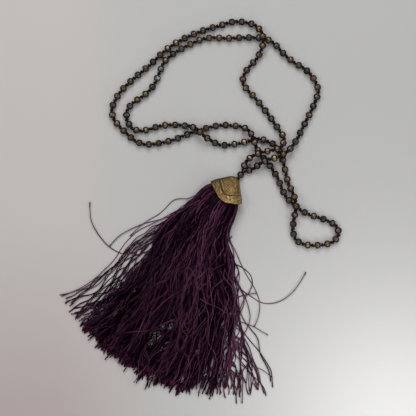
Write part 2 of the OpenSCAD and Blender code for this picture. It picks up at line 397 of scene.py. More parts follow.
BORE_R = 0.5 * MM
TWIN_BORE_R = 0.9 * MM
END_FLAT = 0.94
TWIN_END_FLAT = 0.85
plain_cut = cut_bead(bead_r, BORE_R, END_FLAT)
twin_cut = cut_bead(bead_r, TWIN_BORE_R, TWIN_END_FLAT)
print(f"one bead: {len(plain_cut.polygons)} faces")

# %% [markdown]
# The glass has a metallic bronze coating, fired on, and no two beads took it alike. Most are
# bronze, some are greyer or greener, and near the upper left one bead is grey and one a pale
# blue grey. So each bead carries its own colour as an attribute, and each flat a small number
# of its own, because the coating is worn more on some flats than on others. The kiln has also
# softened the flats. Rounding them for real would take hundreds of faces a bead, so each
# corner keeps the direction from the bead's middle, and the finish leans its normals that way.

# %% String the cut beads
# Each coating's colour and its share of the beads; the last one is also the joining bead's.
COATINGS = (
    ((0.32, 0.23, 0.132), 10), ((0.265, 0.196, 0.118), 8), ((0.37, 0.266, 0.148), 3),
    ((0.225, 0.19, 0.15), 5), ((0.195, 0.182, 0.128), 2), ((0.155, 0.13, 0.11), 3),
)
ODD_BEADS_PX = (((157.6, 79.2), (0.58, 0.66, 0.64)), ((160.5, 71.0), (0.38, 0.42, 0.37)))


def string_beads(name, cut, places, node, coatings=COATINGS, odd_beads_px=()):
    """One mesh of cut beads at (centre, hole) places, with their colours as attributes."""
    made = bmesh.new()
    coating = made.verts.layers.float_color.new("coating")
    outwards = made.verts.layers.float_vector.new("outwards")
    wear = made.faces.layers.float.new("wear")
    shares = np.array([share for _, share in coatings], float)
    odd_colors = {}
    for spot_px, odd_color in odd_beads_px:
        away = [np.linalg.norm(centre[:2] - on_table(spot_px)) for centre, _ in places]
        odd_colors[int(np.argmin(away))] = odd_color
    for k, (centre, hole) in enumerate(places):
        old_verts, old_faces = len(made.verts), len(made.faces)
        made.from_mesh(cut)
        made.verts.ensure_lookup_table()
        made.faces.ensure_lookup_table()
        verts = made.verts[old_verts:]
        aim = Vector(hole).to_track_quat("Z", "Y").to_matrix().to_4x4()
        spin = Matrix.Rotation(chance.uniform(0, 2 * math.pi), 4, "Z")
        seat = Matrix.Translation(Vector(centre)) @ aim @ spin
        bmesh.ops.transform(made, matrix=seat, verts=verts)
        color = coatings[chance.choice(len(coatings), p=shares / shares.sum())][0]
        if k in odd_colors:
            color = odd_colors[k]
        else:
            color = np.array(color) * chance.uniform(0.88, 1.12)
        for v in verts:
            v[coating] = (*color, 1)
            v[outwards] = (v.co - Vector(centre)).normalized()
        for f in made.faces[old_faces:]:
            f[wear] = chance.uniform()
    return keep_piece(name, as_mesh(name, made), coated_glass, "bead_glass", node)


# %% [markdown]
# The coating is a film of metal on dark glass. A metallic shader mirrors the lamps in the
# film's own colour, which a clear coat over a plain colour would not. Wear darkens each flat
# by its number, and fine specks stand for spots where the film has come off. Near the bead's
# outline the film looks nearly black, so a ramp over the angle to the eye darkens it there;
# this dark rim is painted shade.

# %% Coated glass
LEAN = 0.45
coated_glass, tree, shader = new_finish("bronze_coated_glass")
worn = stretch(tree, attribute(tree, "wear"), 0.0, 1.0, 0.0, 0.65)
specks = stretch(tree, grain(tree, 1500.0, 4.0), 0.52, 0.66)
flat_normal = add_node(tree, "NewGeometry").outputs["Normal"]
round_normal = attribute(tree, "outwards", "Vector")
leaning = add_node(tree, "Mix", {0: LEAN, 4: flat_normal, 5: round_normal}, data_type="VECTOR")
unit = add_node(tree, "VectorMath", {0: leaning.outputs[1]}, operation="NORMALIZE")
soft_normal = unit.outputs["Vector"]
turned_away = add_node(tree, "LayerWeight", {"Blend": 0.5, "Normal": soft_normal}).outputs["Facing"]
# Painted shade: the coating's colour darkens towards the bead's outline.
rim = stretch(tree, turned_away, 0.14, 0.52, 0.0, 0.95)
lustre_with_painted_rim = layered(tree, attribute(tree, "coating", "Color"), (worn, (0.036, 0.029, 0.023)),
                 (specks, (0.03, 0.024, 0.019)), (rim, (0.01, 0.007, 0.006)))
fill(tree, shader, {
    "Base Color": lustre_with_painted_rim, "Metallic": 0.85, "Specular Tint": (0.4, 0.36, 0.32, 1),
    "Roughness": stretch(tree, grain(tree, 1100.0, 2.0), 0.3, 0.7, 0.28, 0.46)})
raise_bumps(tree, shader, grain(tree, 2400.0, 2.0), 0.03 * MM, normal=soft_normal)

string_beads("faceted_beads", plain_cut, strung, "beads", odd_beads_px=ODD_BEADS_PX)
string_beads("faceted_joining_bead", twin_cut, [(joint, hang)], "joining_bead", COATINGS[-1:])

# %% [markdown]
# The cord is a dark silk, knotted between each two beads so that none rubs on the next. It
# runs straight through a bead and then winds round itself. A path does this best: points
# through the hole, and then a short coil round the line to the next bead. The curve's round
# bevel makes the thread of it, and the curve becomes a mesh at once.

# %% Threads from paths
THREAD_SIDES = 6


def thread_mesh(name, paths, radii):
    """A mesh of round threads along paths of points, all with the same number of points."""
    curve = bpy.data.curves.new(name, "CURVE")
    curve.dimensions = "3D"
    curve.bevel_depth = 1.0
    curve.bevel_resolution = (THREAD_SIDES - 4) // 2
    for path, radius in zip(paths, radii):
        spline = curve.splines.new("POLY")
        spline.points.add(len(path) - 1)
        spline.points.foreach_set("co", np.column_stack([path, np.ones(len(path))]).ravel())
        spline.points.foreach_set("radius", np.broadcast_to(radius, len(path)))
    guide = bpy.data.objects.new(name + "_guide", curve)
    mesh = bpy.data.meshes.new_from_object(guide)
    bpy.data.objects.remove(guide)
    bpy.data.curves.remove(curve)
    closed = bmesh.new()
    closed.from_mesh(mesh)
    open_ends = [e for e in closed.edges if e.is_boundary]
    for face in closed.faces:
        face.smooth = True
    bmesh.ops.holes_fill(closed, edges=open_ends, sides=THREAD_SIDES)
    closed.to_mesh(mesh)
    closed.free()
    return mesh


# %% [markdown]
# Each knot is about two and a half turns of the cord round its own line. The turns swell
# quickly at both ends, and each knot starts at another angle, as hand tied knots do. Strands
# that really pass under each other would be hidden at this size, so a coil is enough. The
# first and last knots sit beside the joining bead, where two cords lie side by side, so they
# are slimmer.

# %% Cord with its knots
CORD_R = 0.3 * MM
PULLED_R = 0.36 * MM
TWIN_OFFSET = 0.4 * MM
KNOT_TURNS = 2.6
KNOT_WRAP_R = 0.85 * MM
END_KNOT_WRAP_R = 0.5 * KNOT_WRAP_R
KNOT_TAPER = 0.12
KNOT_POINTS = 34
CORD_IN_CAP = 2.2 * MM


def ramp(x, start, end):
    """Goes evenly from 0 at start to 1 at end, and stays at 0 or 1 outside them."""
    return np.clip((x - start) / (end - start), 0, 1)


def knot(entry, leave, wrap):
    """Points of a knot from one hole's mouth to the next one's."""
    way = leave - entry
    length = np.linalg.norm(way)
    way = way / length
    side = np.cross(way, (0, 0, 1))
    side = side / np.linalg.norm(side)
    up = np.cross(side, way)
    t = np.linspace(0, 1, KNOT_POINTS)
    turn = 2 * np.pi * (KNOT_TURNS * t + chance.uniform())
    swell = wrap * ramp(np.minimum(t, 1 - t), 0, KNOT_TAPER) ** 0.6
    slant = 0.3 * np.sin(turn + 1.2) * swell / length
    along = np.clip(KNOT_TAPER + (1 - 2 * KNOT_TAPER) * t + slant, 0, 1)
    along[0], along[-1] = 0, 1
    return (entry + np.outer(along * length, way)
            + np.outer(swell * np.cos(turn), side) + np.outer(swell * np.sin(turn), up))


first_side = math.copysign(TWIN_OFFSET, (strung[0][0] - joint) @ aside) * aside
joint_mouth = joint - bead_r * hang
inside_cap = joint + (bead_r + CORD_IN_CAP) * hang
route = [inside_cap + first_side]
mouth_before = joint_mouth + first_side
for k, (centre, hole) in enumerate(strung):
    wrap = KNOT_WRAP_R if k else END_KNOT_WRAP_R
    route.extend(knot(mouth_before, centre - bead_r * hole, wrap))
    mouth_before = centre + bead_r * hole
route.extend(knot(mouth_before, joint_mouth - first_side, END_KNOT_WRAP_R))
route.append(inside_cap - first_side)
thickness = np.full(len(route), PULLED_R)
thickness[[0, -1]] = CORD_R
cord_mesh = thread_mesh("knotted_cord", [np.array(route)], [thickness])
print(f"cord: {len(route)} points")

# %% [markdown]
# Between the joining bead and the cap the two cord ends are bound together by a few turns
# of the same cord. It is a coil again, closed up so that the turns touch.

# %% Binding above the cap
BINDING_TURNS = 2.3
BINDING_R = 1.05 * MM
BINDING_LONG = 0.75 * MM
BINDING_POINTS = 60
knot_low, knot_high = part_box("neck_knot")
t = np.linspace(-0.5, 0.5, BINDING_POINTS)
turn = 2 * np.pi * BINDING_TURNS * t
binding = (np.array(knot_low + knot_high) / 2 + np.outer(t * BINDING_LONG, hang)
           + np.outer(BINDING_R * np.cos(turn), aside)
           + np.outer(BINDING_R * np.sin(turn), (0, 0, 1)))
binding_mesh = thread_mesh("cord_binding", [binding], [CORD_R])

# %% [markdown]
# Silk cord is two plies twisted together, and it has a soft sheen along them. At this size
# the plies are far finer than a pixel, but a close view shows them, so they are bump: a
# wave that runs slantwise over the thread's own UV map, where U goes round and V goes along.

# %% Silk cord finish
def twisted_plies(tree, turns_round, turns_along):
    """Height of twisted plies, as slanting waves over a thread's own UV map."""
    uv = add_node(tree, "UVMap", uv_map="UVMap").outputs["UV"]
    stretched = add_node(tree, "Mapping", {"Vector": uv, "Scale": (turns_round, turns_along, 1.0)})
    inputs = {"Vector": stretched.outputs["Vector"], "Scale": 1.0}
    return add_node(tree, "TexWave", inputs, bands_direction="DIAGONAL").outputs["Fac"]


silk, tree, shader = new_finish("plum_silk_cord")
tone = blend_colors(tree, grain(tree, 1800.0, 2.0), (0.007, 0.002, 0.0055, 1),
                    (0.036, 0.009, 0.027, 1))
fill(tree, shader, {
    "Base Color": tone, "Roughness": 0.45,
    "Specular IOR Level": 0.2, "Specular Tint": (1.0, 0.65, 0.88, 1)})
raise_bumps(tree, shader, twisted_plies(tree, 2.0, 2.0), 0.08 * MM, 0.6)

keep_piece("knotted_cord", cord_mesh, silk, "silk_cord", "cord")
keep_piece("cord_binding", binding_mesh, silk, "silk_cord", "neck_knot")

# %% [markdown]
# The cap is thin brass, stamped and then bent to a flattened cone. We make it as the maker
# does: a flat sheet first, with the ornament in it, and then the bend. The sheet is a grid.
# One way across it runs round the cone, the other from the hole at the top to the mouth.
# The real cap isn't a true cone. It was squeezed by hand: its flanks are a little uneven and
# its mouth has a blunt corner left of the middle. So its outline is a short table, in
# millimetres down and aside from the joining bead.

# %% Outline of the cap
# Each row: a share of the way to the mouth, the left flank down and aside, the right flank.
CAP_FLANKS = (
    (0.0, 3.2, -1.1, 3.2, 1.1), (0.02, 3.1, -2.2, 3.45, 1.6), (0.06, 3.6, -3.6, 4.3, 2.5),
    (0.14, 4.7, -4.9, 5.4, 3.44), (0.36, 7.4, -7.35, 7.5, 5.3), (0.6, 10.2, -9.85, 10.3, 8.2),
    (0.8, 12.4, -11.5, 12.1, 9.95), (1.0, 14.5, -12.75, 14.1, 11.5),
)
# The mouth bulges down between the flanks, at -1 and 1. The incised line's place down and its
# width are read by the millimetres aside.
MOUTH_BULGE = 5.6
BULGE_SHAPE = ((-1, 0), (-0.74, 0.31), (-0.43, 0.65), (-0.155, 0.93), (0.13, 1), (0.31, 0.92),
               (0.68, 0.5), (0.87, 0.27), (1, 0))
LINE_DOWN = ((-8.6, 10.3), (-5.5, 12.8), (-3.5, 14.4), (-2.0, 15.25), (-0.85, 15.55), (0.2, 15.55),
             (2.9, 13.97), (5.4, 12.1), (7.6, 10.35))
LINE_WIDTH = ((-8.0, 0.62), (-3.5, 0.6), (-2.0, 0.42), (-0.8, 0.3), (0.5, 0.27), (8.0, 0.27))
TOP_THICK = 3.2 * MM
HOLE_THICK = 1.3 * MM
CAP_WALL = 0.8 * MM
BOXY = 0.8
MOUTH_THICK = cap_high.z - cap_low.z
cap_corners = [np.array(v.co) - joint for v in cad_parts["tassel_cap"].data.vertices]
CAP_MOUTH = max(np.linalg.norm(corner[:2]) for corner in cap_corners)
print(f"cap {MOUTH_THICK / MM:.1f} mm thick, its mouth {CAP_MOUTH / MM:.1f} mm "
      "from the joining bead")


def read_table(table, at):
    """A table of pairs, read between its rows."""
    rows = np.array(table, float)
    return np.interp(at, rows[:, 0], rows[:, 1])


def read_smooth(table, at, spread):
    """The same with its corners rounded over a spread of the first column."""
    return np.mean([read_table(table, at + d) for d in np.linspace(-spread, spread, 9)], axis=0)


# %% [markdown]
# The ornament is common stamped work: an oval with slanting veins like a leaf, some curved
# strokes beside it and round it, and a border that is hammered all over. Each stroke is
# a ridge with round sides. Its height at a spot depends only on the distance to the stroke,
# so one function draws them all. The strokes were read off the photograph in pixels. Heights
# and widths here are in millimetres.

# %% Ornament of the cap
LEAF_MIDDLE_PX = (228.0, 187.3)
LEAF_HALF_PX = (3.9, 4.4)
VEIN_SPACING = 1.28
LEAF_HEIGHT = 0.12
STROKE_HEIGHT = 0.07
STROKE_WIDTH = 0.24
DENT_WAVES = 9
STROKES_PX = (
    ((238.6, 180.6), (238.9, 186.4)), ((238.9, 186.4), (239.4, 192.0)),
    ((222.5, 184.4), (225.2, 182.2)), ((225.2, 182.2), (228.8, 181.6)),
    ((228.8, 181.6), (232.4, 183.2)), ((234.2, 180.8), (236.4, 182.6)),
    ((236.4, 184.4), (235.4, 187.0)), ((233.4, 187.6), (234.6, 190.6)),
    ((224.0, 190.0), (226.4, 192.4)), ((226.4, 192.4), (229.6, 193.6)),
    ((232.0, 179.0), (236.4, 178.8)), ((236.8, 188.4), (236.2, 191.8)),
)


def ridge(distance, width):
    """Height from 0 to 1 at a distance from a ridge's middle line."""
    return np.exp(-(distance / width) ** 2)


def segment_distance(x, y, a, b):
    """Distance from points to a straight stroke."""
    way = b - a
    t = np.clip(((x - a[0]) * way[0] + (y - a[1]) * way[1]) / (way @ way), 0, 1)
    return np.hypot(x - a[0] - t * way[0], y - a[1] - t * way[1])


def leaf_height(x, y):
    """The oval with its slanting veins, for places on the table in millimetres."""
    middle = on_table(LEAF_MIDDLE_PX) / MM
    right, up = x - middle[0], y - middle[1]
    out = np.hypot(right / (LEAF_HALF_PX[0] * MM_PER_PX), up / (LEAF_HALF_PX[1] * MM_PER_PX))
    inside = ramp(out, 1.0, 0.85)
    veins = np.cos(2 * math.pi * (right + up) / math.sqrt(2) / VEIN_SPACING)
    # A raised rim just outside the oval, and the veins inside it.
    return 0.6 * ridge(out - 1.08, 0.13) + inside * (0.45 + 0.95 * veins)


def hammered(x, y, size, seed):
    """Uneven dents of about one size, from 0 in a dent to 1 between dents."""
    made = np.zeros_like(x)
    dent = np.random.default_rng(seed)
    for _ in range(DENT_WAVES):
        angle, phase = dent.uniform(0, 2 * math.pi, 2)
        wave = dent.uniform(0.6, 1.5) * 2 * math.pi / size
        made += np.sin(wave * (x * math.cos(angle) + y * math.sin(angle)) + phase)
    return np.clip(0.5 + made / 7, 0, 1)


# %% [markdown]
# The relief adds it all up. The ornament lies on the field above the incised line, deep dents
# cover the border below it, and faint ones cover both. The line itself is a groove with a
# flat bottom and a raised lip on each side.

# %% Relief of the cap
def cap_relief(down, side, flank):
    """Height of the stamped work in millimetres, for places down and aside on the cap."""
    x = joint[0] / MM + down * hang[0] + side * aside[0]
    y = joint[1] / MM + down * hang[1] + side * aside[1]
    line = read_smooth(LINE_DOWN, side, 0.5)
    after, before = (read_smooth(LINE_DOWN, side + step, 0.5) for step in (0.2, -0.2))
    slope = (after - before) / 0.4
    below = (down - line) / np.sqrt(1 + slope ** 2)
    width = read_smooth(LINE_WIDTH, side, 0.5)
    on_field = ramp(-below - width, 0.15, 0.55) * ramp(flank, 0.04, 0.1)
    on_border = ramp(below - width, 0, 0.3) * ramp(flank, 1, 0.95)
    ornament = LEAF_HEIGHT * leaf_height(x, y)
    for a, b in STROKES_PX:
        distance = segment_distance(x, y, on_table(a) / MM, on_table(b) / MM)
        ornament = np.maximum(ornament, STROKE_HEIGHT * ridge(distance, STROKE_WIDTH))
    # Lips beside the incised line, coarse and fine dents, and the line, deepest on the right.
    lip = 0.07 * ridge(below + width + 0.35, 0.28) + 0.05 * ridge(below - width - 0.25, 0.25)
    field = (on_field * ornament + 0.03 * hammered(x, y, 3.2, 5)
             + 0.05 * hammered(x, y, 0.9, 6) - 0.01)
    border = on_border * (0.16 * hammered(x, y, 2.0, 8) + 0.14 * hammered(x, y, 1.0, 9) - 0.04)
    depth = 0.11 + 0.17 * ramp(side, -3.5, -1.5)
    groove = -depth * np.exp(-(below / width) ** 4)
    return field + lip + border + groove


# %% [markdown]
# Now the bend. The grid's corners are moved, each to its spot on the flattened cone, with
# the ornament's height added outwards. The seam is welded, and a solidify modifier gives the
# sheet its thickness inwards. The height of the ornament stays on the mesh as an attribute,
# because old brass is dark in its hollows and bright on its ridges. Painted shade along the
# flank edges and on the left flank, and painted highlights at the mouth and along the right
# fold, are added to that attribute.

# %% Bend the sheet
SHEET_ROUND = 264
SHEET_LONG = 72


def squared(c):
    """Pulls an ellipse's cosine outwards, so that the oval gets a little boxy."""
    return np.sign(c) * np.abs(c) ** BOXY


def bent(turn, way):
    """Places on the cap's skin, and the ornament's relief with painted shade and highlights added,
    from shares across the sheet.
    """
    # Rows lie closer together near the hole, where the sheet curves most.
    way = way ** 1.25
    wide, high = squared(np.cos(2 * math.pi * turn)), squared(np.sin(2 * math.pi * turn))
    rows = np.array(CAP_FLANKS)
    left_down, left_side, right_down, right_side = (
        np.interp(way, rows[:, 0], rows[:, k]) for k in range(1, 5))
    t = (wide + 1) / 2
    bulge = MOUTH_BULGE * way ** 0.75 * read_smooth(BULGE_SHAPE, wide, 0.06)
    down = left_down + (right_down - left_down) * t + bulge
    side = left_side + (right_side - left_side) * t
    opening = np.sqrt(1 - (1 - ramp(way, 0, 0.1)) ** 2)
    full = TOP_THICK + (MOUTH_THICK - TOP_THICK) * way
    half_thick = (HOLE_THICK + (full - HOLE_THICK) * opening) / 2
    middle_z = joint[2] + (MOUTH_THICK / 2 - joint[2]) * way
    height = cap_relief(down, side, way)
    facing = np.clip(np.abs(high) * 1.8, 0, 1)
    # Painted shade along both flank edges, where the sheet turns away.
    painted_fold_shade = ramp(-wide, 0.84, 0.96) + ramp(wide, 0.96, 0.99)
    z = middle_z + (half_thick + (height - LEAF_HEIGHT) * facing * opening * MM) * high
    spots = joint * (1, 1, 0) + np.outer(down * MM, hang) + np.outer(side * MM, aside)
    spots[:, 2] = np.maximum(z, 0)
    # For the finish only: painted shade on the left flank, and painted highlights at the mouth and
    # along the right fold.
    painted_flank_shade = 0.13 * ramp(-wide, 0.2, 0.8) * np.maximum(ramp(way, 0.3, 0.7), 0.3)
    rim = ridge(way - 0.97, 0.02) * ramp(wide, -0.4, 0)
    painted_highlight = 0.2 * ridge(wide - 0.912, 0.03) * np.clip(6 * (0.8 - way), 0, 1) + 0.09 * rim
    return spots, height * facing - 0.2 * painted_fold_shade - painted_flank_shade + painted_highlight


sheet = bmesh.new()
bmesh.ops.create_grid(sheet, x_segments=SHEET_ROUND, y_segments=SHEET_LONG, size=0.5)
across = np.array([v.co for v in sheet.verts]) + 0.5
# The relief that goes into the attribute also carries the painted shade and highlights.
spots, heights_and_painted_light = bent(across[:, 0], across[:, 1])
stamped = sheet.verts.layers.float.new("stamped")
for v, spot, height in zip(sheet.verts, spots, heights_and_painted_light):
    v.co = spot
    v[stamped] = height
bmesh.ops.remove_doubles(sheet, verts=sheet.verts, dist=WELD)
bmesh.ops.recalc_face_normals(sheet, faces=sheet.faces)
top_face = max(sheet.faces, key=lambda f: f.calc_center_median().z)
if top_face.normal.z < 0:
    bmesh.ops.reverse_faces(sheet, faces=sheet.faces)
for face in sheet.faces:
    face.smooth = True
print(f"sheet of {len(sheet.faces)} faces, relief {heights_and_painted_light.min():.2f} to {heights_and_painted_light.max():.2f} mm")
sheet_mesh = as_mesh("stamped_cap", sheet)

# %% [markdown]
# Old brass is one metal in several states. Raised work is rubbed bright, the hollows hold
# dark dirt, and between them lie brown blotches and fine pits. One could paint these, but
# they follow the relief, so the stamped height picks the colour, and noise does the rest. The
# stamped attribute also carries painted shade and painted highlights, which the same layers
# turn into colour.

# %% Brass finish
old_brass, tree, shader = new_finish("old_stamped_brass")
relief_and_painted_light = attribute(tree, "stamped")
blotch = grain(tree, 480.0, 4.0, 0.6)
fine = grain(tree, 1400.0, 3.0)
# Rubbed bright where raised, and a painted highlight at the mouth and along the right fold.
rubbed_and_painted_highlight = stretch(tree, relief_and_painted_light, -0.02, 0.21)
brown = stretch(tree, blotch, 0.47, 0.62, 0.0, 0.6)
# Dark dirt in the hollows, and painted shade along the flank edges and on the left flank.
dirt_and_painted_shade = stretch(tree, relief_and_painted_light, -0.02, -0.14)
pits = stretch(tree, fine, 0.5, 0.66, 0.0, 0.6)
aged = layered(tree, (0.2, 0.125, 0.046, 1),
               (rubbed_and_painted_highlight, (0.66, 0.45, 0.175)), (brown, (0.25, 0.105, 0.035)),
               (dirt_and_painted_shade, (0.095, 0.09, 0.07)), (pits, (0.1, 0.06, 0.028)))
fill(tree, shader, {
    "Base Color": aged, "Metallic": 0.75,
    "Roughness": stretch(tree, blotch, 0.3, 0.7, 0.3, 0.5)})
raise_bumps(tree, shader, fine, 0.14 * MM, 0.9)

cap = keep_piece("stamped_cap", sheet_mesh, old_brass, "antique_brass", "tassel_cap")
wall = cap.modifiers.new("wall", "SOLIDIFY")
wall.thickness = CAP_WALL
wall.offset = -1

# %% [markdown]
# The tassel is rayon thread, several hundred lengths tied in a bundle, with the head of the
# bundle inside the cap. Laid down it fans out, and it isn't even: on the left a loose band
# of threads comes away from the mass, on the right some hang by themselves, and between
# them lies a dense body. Four edges describe that, as angles seen from the joining bead at
# shares of the tassel's length: the outer left, the dense body's two sides, and the outer
# right. A thread keeps its place between those edges from the cap to its tip.

# %% The fan and its edges
TASSEL_L = 122 * MM
THREAD_R = 0.29 * MM
STRAY_R = 0.27 * MM
# Each row: a share of the tassel's length, and the angles of the four edges in degrees.
FAN = (
    (-0.06, -33, -30, 29, 30), (0.0, -38, -36.5, 31, 32),
    (0.03, -37.0, -35.0, 30.3, 31.3), (0.06, -33.4, -31.6, 28.2, 29.2),
    (0.09, -30.2, -28.5, 25.6, 26.4), (0.13, -27.5, -25.0, 24.0, 25.0),
    (0.18, -25.8, -21.5, 23.5, 26.0), (0.23, -26.0, -19.2, 24.6, 28.5),
    (0.28, -26.4, -17.5, 26.6, 32), (0.33, -26.7, -15.6, 28.4, 35),
    (0.39, -26.6, -13.8, 30.2, 37.5), (0.46, -25.6, -12.0, 31.0, 39),
    (0.545, -23.8, -10.6, 31.8, 40), (0.657, -20.9, -9.8, 32.0, 41),
    (0.76, -19.1, -9.6, 31.6, 41.8), (0.86, -18.8, -9.6, 30.4, 42.2),
    (0.97, -20.2, -9.6, 29.3, 42.0), (1.05, -20.7, -9.6, 29.0, 42.0),
)
EDGE_PLACES = (0.0, 0.07, 0.94, 1.0)
THICKNESS = ((-0.04, 5.4), (0.0, 7.2), (0.05, 8.0), (0.15, 7.8), (0.5, 5.6), (0.8, 3.4), (1.0, 2.4),
             (1.1, 2.2))
THINNEST = 2.0 * MM
# At this share of its length the bundle has sunk from the cap's middle height onto the table.
SETTLE = 0.2


def running_mean(values, reach, **padding):
    """Each value with its neighbours up to a reach averaged in, the ends padded first."""
    window = np.ones(2 * reach + 1) / (2 * reach + 1)
    return np.convolve(np.pad(values, reach, **padding), window, mode="valid")


fan_rows = np.array(FAN)
fine_shares = np.linspace(-0.08, 1.1, 237)
fan_edges = [
    running_mean(np.interp(fine_shares, fan_rows[:, 0], fan_rows[:, column]), 5, mode="edge")
    for column in range(1, 5)]
print(f"the fan opens {fan_edges[3][-1] - fan_edges[0][-1]:.0f} degrees wide")


def edges_at(share):
    """The angles of the fan's four edges in degrees, for an array of shares."""
    return [np.interp(share, fine_shares, edge) for edge in fan_edges]


def fan_angle(place, share):
    """Angle of a spot in the fan, in degrees, for arrays of places and shares."""
    edges = edges_at(share)
    angle = np.zeros_like(share)
    for k in range(3):
        t = (place - EDGE_PLACES[k]) / (EDGE_PLACES[k + 1] - EDGE_PLACES[k])
        angle = np.where((t >= 0) | (k == 0), edges[k] + (edges[k + 1] - edges[k]) * t, angle)
    return angle


def smooth_ramp(x, start, end):
    """A ramp from 0 at start to 1 at end with soft corners."""
    t = ramp(x, start, end)
    return t * t * (3 - 2 * t)


# %% [markdown]
# In some spots the photograph shows the table between the threads. Leaving threads out would
# thin the tassel along its whole length, so partings push them aside there: first two large
# gentle ones, which thin the fan out, and then narrow slits of several sizes. The spots were
# read off the photograph, and `polar` gives each as a distance and an angle.

# %% Partings between the threads
# Spots where threads part, each with a size. Narrow slits push firmly, thin spots gently.
PARTINGS_PX = (
    (172, 321, 2.0), (155, 338, 2.2), (163, 326, 1.2), (146, 352, 1.3), (184, 332, 1.6),
    (166, 343, 1.7), (175, 334, 1.3), (182, 382, 1.1), (197, 350, 0.9), (205, 374, 0.9),
    (146, 260, 0.7), (148, 246, 0.6), (238, 336, 1.8), (244, 362, 1.6), (233, 368, 1.2),
    (225, 376, 1.2), (218, 358, 1.2), (226, 346, 1.3), (222, 324, 1.1), (230, 312, 1.0),
    (111, 271, 0.7), (98, 279, 0.6), (117, 280, 0.7), (126, 279, 0.5), (108, 296, 0.5),
    (94, 299, 0.6), (120, 293, 0.5), (90, 310, 0.5), (134, 268, 0.5), (137, 252, 0.5),
)
THIN_SPOTS_PX = ((163, 332, 4.5), (236, 358, 3.0))
PARTING_WIDE = 1.2 * MM
PARTING_LONG = 3.4 * MM
PARTING_PUSH = 0.9


def polar(pixel):
    """Distance from the joining bead and angle from the hanging direction, for a pixel."""
    off = on_table(pixel) - joint[:2]
    return np.hypot(*off), math.atan2(off @ aside[:2], off @ hang[:2])


partings = []
for spots_px, firm in ((THIN_SPOTS_PX, 0.8), (PARTINGS_PX, 5.0)):
    partings.extend((*polar((x, y)), size, firm) for x, y, size in spots_px)


def parted(angle, reach):
    """The angles of a thread's points after every parting has pushed them aside."""
    for middle_reach, middle_angle, size, firm in partings:
        wide = PARTING_WIDE * size
        off = (angle - middle_angle) * reach / wide
        near = np.exp(-off ** 2 - ((reach - middle_reach) / (PARTING_LONG * size)) ** 2)
        angle = angle + PARTING_PUSH * np.tanh(firm * off) * near * wide / reach
    return angle


# %% [markdown]
# One thread is a path of points. Along it run three kinds of movement, as in real rayon that
# was kept rolled up: a slow drift across the fan, waves that it shares with its neighbours,
# and waves of its own, long and short. The partings come after all of these. A thread's
# height is a share of the bundle's thickness, which sinks from the cap's mouth to the table.

# %% One thread of the fan
THREAD_POINTS = 62
FAN_TOP = -0.028
# Waves that neighbours share: size in mm, cycles, cycles across the fan and phase. Those that
# only a tuft shares: size and cycles. A thread's own: cycles, size, and its share at the cap.
SHARED_WAVES = ((0.9, 1.25, 1.7, 0.8), (0.6, 2.9, -4.1, 2.0))
TUFT_WAVES = ((0.9, 1.7), (0.6, 3.6))
OWN_WAVES = ((1.2, 1.1, 0.0), (2.6, 0.8, 0.2), (4.8, 0.42, 0.6), (8.5, 0.16, 1.0))
NET_WAVES = ((1.2, 0.7, 0.0), (2.6, 0.6, 0.3), (5.5, 0.6, 0.6), (9.5, 0.42, 1.0))


def fan_thread(start, end, level, span, tuft, unrest, waves):
    """Points of one thread from inside the cap to its tip."""
    share = np.linspace(FAN_TOP, 1.0, THREAD_POINTS) * span
    place = start + (end - start) * smooth_ramp(share, 0, span)
    reach = CAP_MOUTH + TASSEL_L * share
    free = smooth_ramp(share, 0, 0.35)
    shared = np.zeros_like(share)
    for size, cycles, across, phase in SHARED_WAVES:
        shared += size * np.sin(2 * np.pi * (cycles * share + across * place) + phase)
    for (size, cycles), phase in zip(TUFT_WAVES, tuft):
        shared += size * np.sin(2 * np.pi * cycles * share + phase)
    own = np.zeros_like(share)
    for cycles, size, early in waves:
        phase = 2 * np.pi * (cycles * chance.uniform(0.8, 1.2) * share + chance.uniform())
        own += size * chance.uniform(0.3, 1.5) * np.sin(phase) * (early + (1 - early) * free)
    sideways = (shared * free + own * unrest * smooth_ramp(share, -0.02, 0.1)) * MM
    angle = parted(np.radians(fan_angle(place, share)) + sideways / reach, reach)
    # The bundle is thickest in its middle, and a thread keeps its level between top and table.
    thick = read_table(THICKNESS, share) * MM
    seat = np.clip(0.95 * (2 * place - 1), -0.98, 0.98)
    crown = np.sqrt(1 - seat ** 2)
    half_thick = np.maximum(thick * crown, THINNEST) / 2
    held = ramp(share, SETTLE, 0)
    middle_z = half_thick * (1 - held) + MOUTH_THICK / 2 * held
    wobble = 0.12 * np.sin(2 * np.pi * (1.6 * share + chance.uniform())) * free
    lift = np.clip(level + wobble, 0, 1)
    z = middle_z + (2 * lift - 1) * (half_thick - THREAD_R)
    points = joint * (1, 1, 0) + np.outer(reach * np.cos(angle), hang)
    points += np.outer(reach * np.sin(angle), aside)
    points[:, 2] = np.maximum(z, THREAD_R)
    return points


# %% [markdown]
# Threads that lie together cling together, so the body of the tassel is planned in tufts.
# A tuft has its own place, drift, length and wave, and its threads start apart and end
# close. That gives the small spikes and notches of the cut fringe. Places and lengths are
# drawn as shares of the fan, and tones from 0, nearly black, to 1, a pale plum. The fan has
# its own seed, the one of ten with the evenest body.

# %% Plan the tufts
TUFTS = 145
THREADS_IN_TUFT = 4
# From a share of the tufts to their place in the fan, and from a place to the threads' length.
TUFT_PLACES = ((0.0, 0.074), (0.048, 0.17), (0.37, 0.345), (0.67, 0.55), (0.9, 0.79), (1.0, 0.945))
SPANS = ((0.0, 0.93), (0.03, 0.95), (0.07, 0.962), (0.12, 0.957), (0.25, 0.945), (0.45, 0.96),
         (0.65, 0.982), (0.85, 0.965), (1.0, 0.95))
BODY = (0.06, 0.95)
FAN_SEED = 10
chance = np.random.default_rng(FAN_SEED)
plan = []


